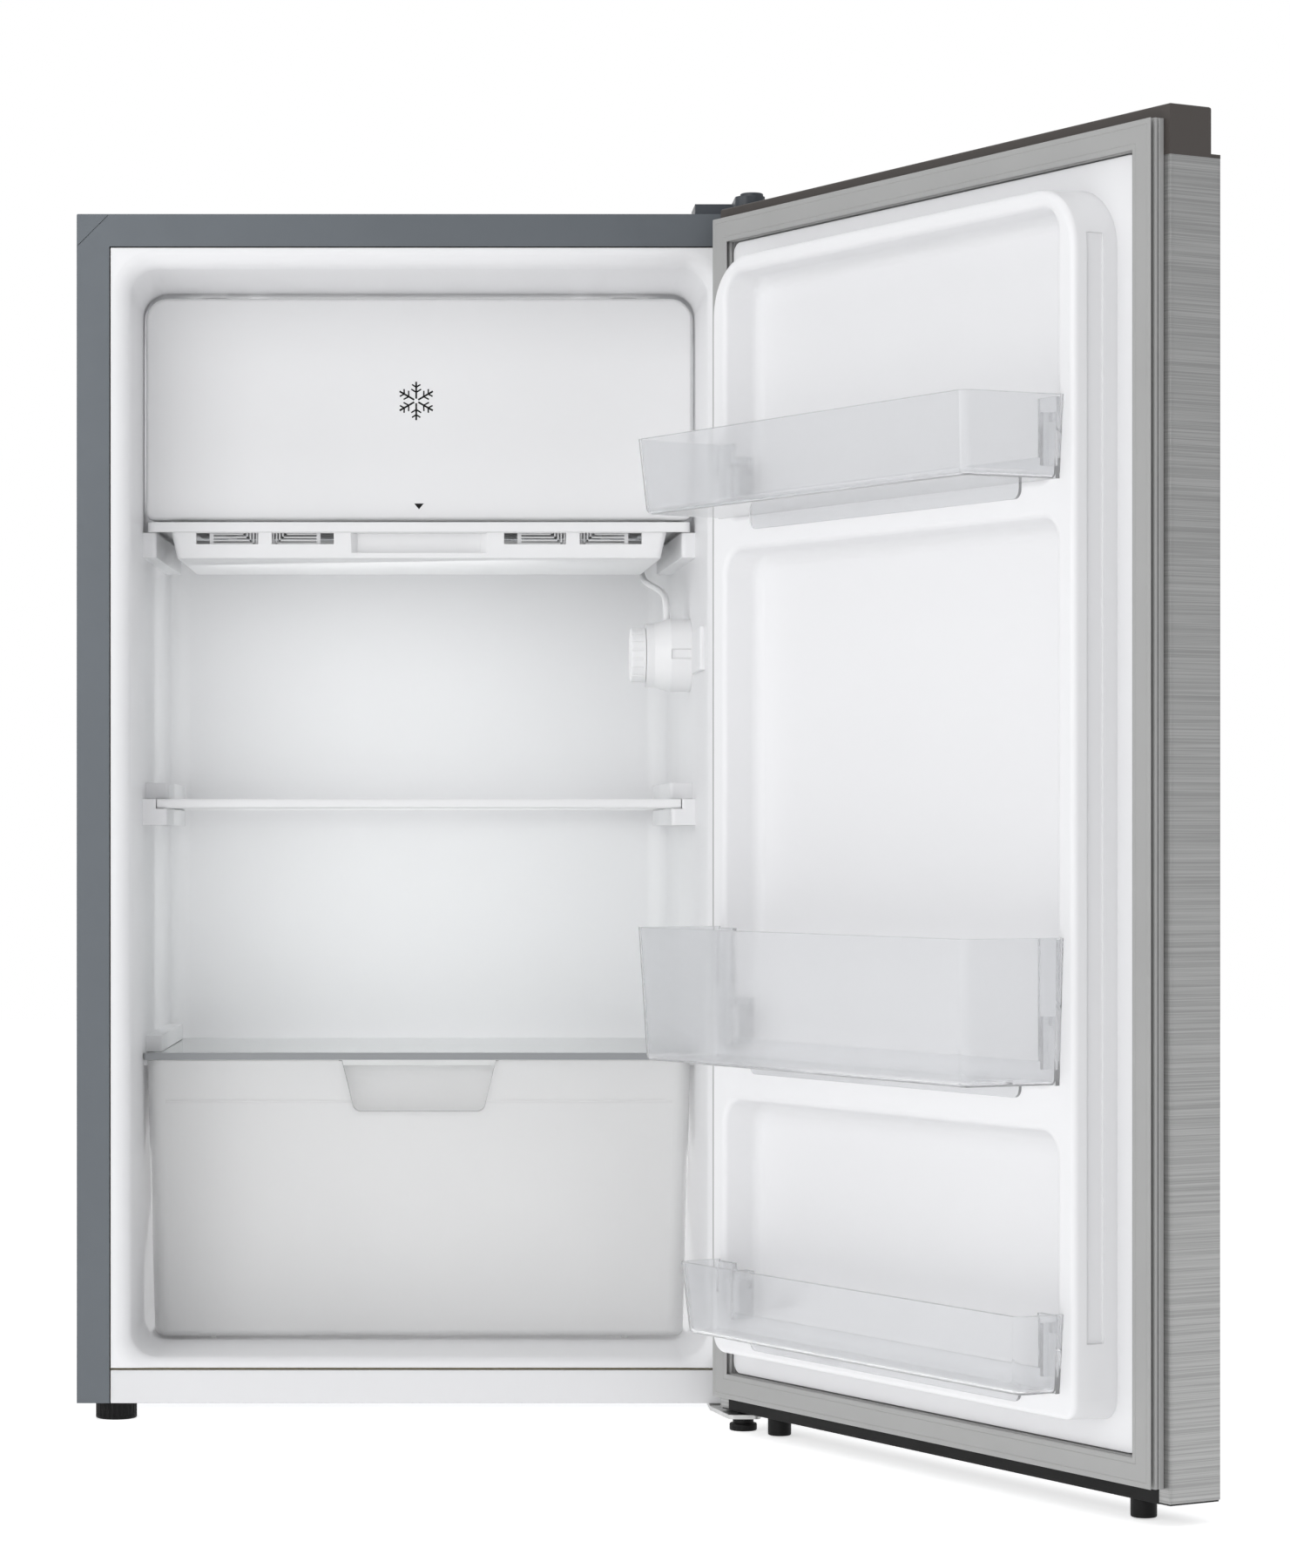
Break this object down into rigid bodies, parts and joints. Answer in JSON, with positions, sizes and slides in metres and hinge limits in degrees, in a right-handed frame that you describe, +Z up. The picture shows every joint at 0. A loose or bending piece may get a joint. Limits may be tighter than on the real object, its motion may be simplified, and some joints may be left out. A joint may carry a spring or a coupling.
{
  "type": "compact refrigerator",
  "caption": "Compact single-door refrigerator with freezer flap, drip tray, glass shelf, crisper drawer and door bins, shown with its door open",
  "frame": {"origin": "on the floor, under the middle of the cabinet's footprint", "axes": "+X to the right seen from the front, +Y to the back, +Z up"},
  "size_m": [0.7204, 0.8438, 0.8578],
  "materials": {
    "wrapper_sheet": "silver-grey paint, fine texture",
    "galvanised_sheet": "galvanised, dull",
    "crossbar_paint": "white gloss paint",
    "liner_white": "vacuum-formed, semi-gloss",
    "foam": "rigid polyurethane foam",
    "copper": "drawn copper",
    "black_enamel": "black enamel",
    "black_rubber": "moulded",
    "zinc_steel": "zinc plated",
    "black_plastic": "moulded",
    "grey_plastic": "moulded",
    "evaporator_aluminium": "roll-bonded, matt",
    "white_plastic": "moulded, semi-gloss",
    "clear_glass": "toughened, ground edges",
    "clear_plastic": "clear moulded polystyrene",
    "drawer_plastic": "translucent moulded polystyrene",
    "door_steel": "brushed along its width",
    "cap_brown": "warm grey, fine texture",
    "gasket_grey": "soft vinyl",
    "magnet": "bonded ferrite strip",
    "cover_grey": "fine texture"
  },
  "bodies": {
    "cabinet": {"cabinet_wrapper": "wrapper_sheet", "rear_panel": "galvanised_sheet", "bottom_panel": "galvanised_sheet", "base_plate": "galvanised_sheet", "lower_front_crossbar": "crossbar_paint", "inner_liner": "liner_white", "cabinet_insulation": "foam", "condenser_tube": "copper", "compressor": "black_enamel", "compressor_grommets": "black_rubber", "compressor_bolts": "zinc_steel", "compressor_relay": "black_plastic", "cord_inlet": "black_rubber", "filter_drier": "copper", "suction_tube": "copper", "discharge_tube": "copper", "water_pan": "black_plastic", "drain_tube": "grey_plastic", "evaporator_plate": "evaporator_aluminium", "evaporator_hangers": "white_plastic", "flap_hinge_brackets": "white_plastic", "thermostat_housing": "white_plastic", "thermostat_switch": "grey_plastic", "thermostat_capillary": "white_plastic", "rear_feet": "black_plastic", "top_hinge": "zinc_steel", "top_hinge_screws": "zinc_steel", "top_hinge_cover": "cover_grey", "lower_hinge": "zinc_steel", "lower_hinge_screws": "zinc_steel"},
    "door": {"door_skin": "door_steel", "door_liner": "liner_white", "door_foam": "foam", "door_top_cap": "cap_brown", "door_bottom_cap": "black_plastic", "hinge_bushes": "white_plastic", "door_posts": "black_plastic", "door_gasket": "gasket_grey", "gasket_magnet": "magnet"},
    "flap": {"freezer_flap": "white_plastic"},
    "tray": {"drip_tray": "white_plastic"},
    "shelf": {"shelf_glass": "clear_glass", "shelf_front_trim": "white_plastic", "shelf_rear_trim": "white_plastic"},
    "crisper_cover": {"crisper_cover_glass": "clear_glass", "crisper_cover_trim": "grey_plastic"},
    "drawer": {"crisper_drawer": "drawer_plastic"},
    "knob": {"thermostat_knob": "white_plastic"},
    "upper_bin": {"upper_door_bin": "clear_plastic"},
    "middle_bin": {"middle_door_bin": "clear_plastic"},
    "lower_bin": {"lower_door_bin": "clear_plastic"},
    "left_foot": {"front_left_foot": "black_plastic"},
    "right_foot": {"front_right_foot": "black_plastic"}
  },
  "joints": [
    {"name": "door_hinge", "type": "hinge", "parent": "cabinet", "child": "door", "pos_m": [0.23, -0.2268, 0.43], "axis": [0, 0, 1], "range_deg": [-119.4, 15]},
    {"name": "flap_hinge", "type": "hinge", "parent": "cabinet", "child": "flap", "pos_m": [0, -0.0855, 0.7888], "axis": [-1, 0, 0], "range_deg": [0, 90]},
    {"name": "tray_slide", "type": "slide", "parent": "cabinet", "child": "tray", "axis": [0, -1, 0], "range_m": [0, 0.16]},
    {"name": "shelf_slide", "type": "slide", "parent": "cabinet", "child": "shelf", "axis": [0, -1, 0], "range_m": [0, 0.22]},
    {"name": "crisper_cover_slide", "type": "slide", "parent": "cabinet", "child": "crisper_cover", "axis": [0, -1, 0], "range_m": [0, 0.12]},
    {"name": "drawer_slide", "type": "slide", "parent": "cabinet", "child": "drawer", "axis": [0, -1, 0], "range_m": [0, 0.17]},
    {"name": "knob_turn", "type": "hinge", "parent": "cabinet", "child": "knob", "pos_m": [0.16, -0.0485, 0.5445], "axis": [1, 0, 0], "range_deg": [0, 290]},
    {"name": "upper_bin_lift", "type": "slide", "parent": "door", "child": "upper_bin", "axis": [0, 0, 1], "range_m": [0, 0.045]},
    {"name": "middle_bin_lift", "type": "slide", "parent": "door", "child": "middle_bin", "axis": [0, 0, 1], "range_m": [0, 0.045]},
    {"name": "lower_bin_lift", "type": "slide", "parent": "door", "child": "lower_bin", "axis": [0, 0, 1], "range_m": [0, 0.045]},
    {"name": "left_foot_turn", "type": "hinge", "parent": "cabinet", "child": "left_foot", "pos_m": [-0.214, -0.1785, 0.006], "axis": [0, 0, 1], "range_deg": [-180, 180]},
    {"name": "right_foot_turn", "type": "hinge", "parent": "cabinet", "child": "right_foot", "pos_m": [0.2245, -0.2405, 0.004], "axis": [0, 0, 1], "range_deg": [-180, 180]}
  ]
}
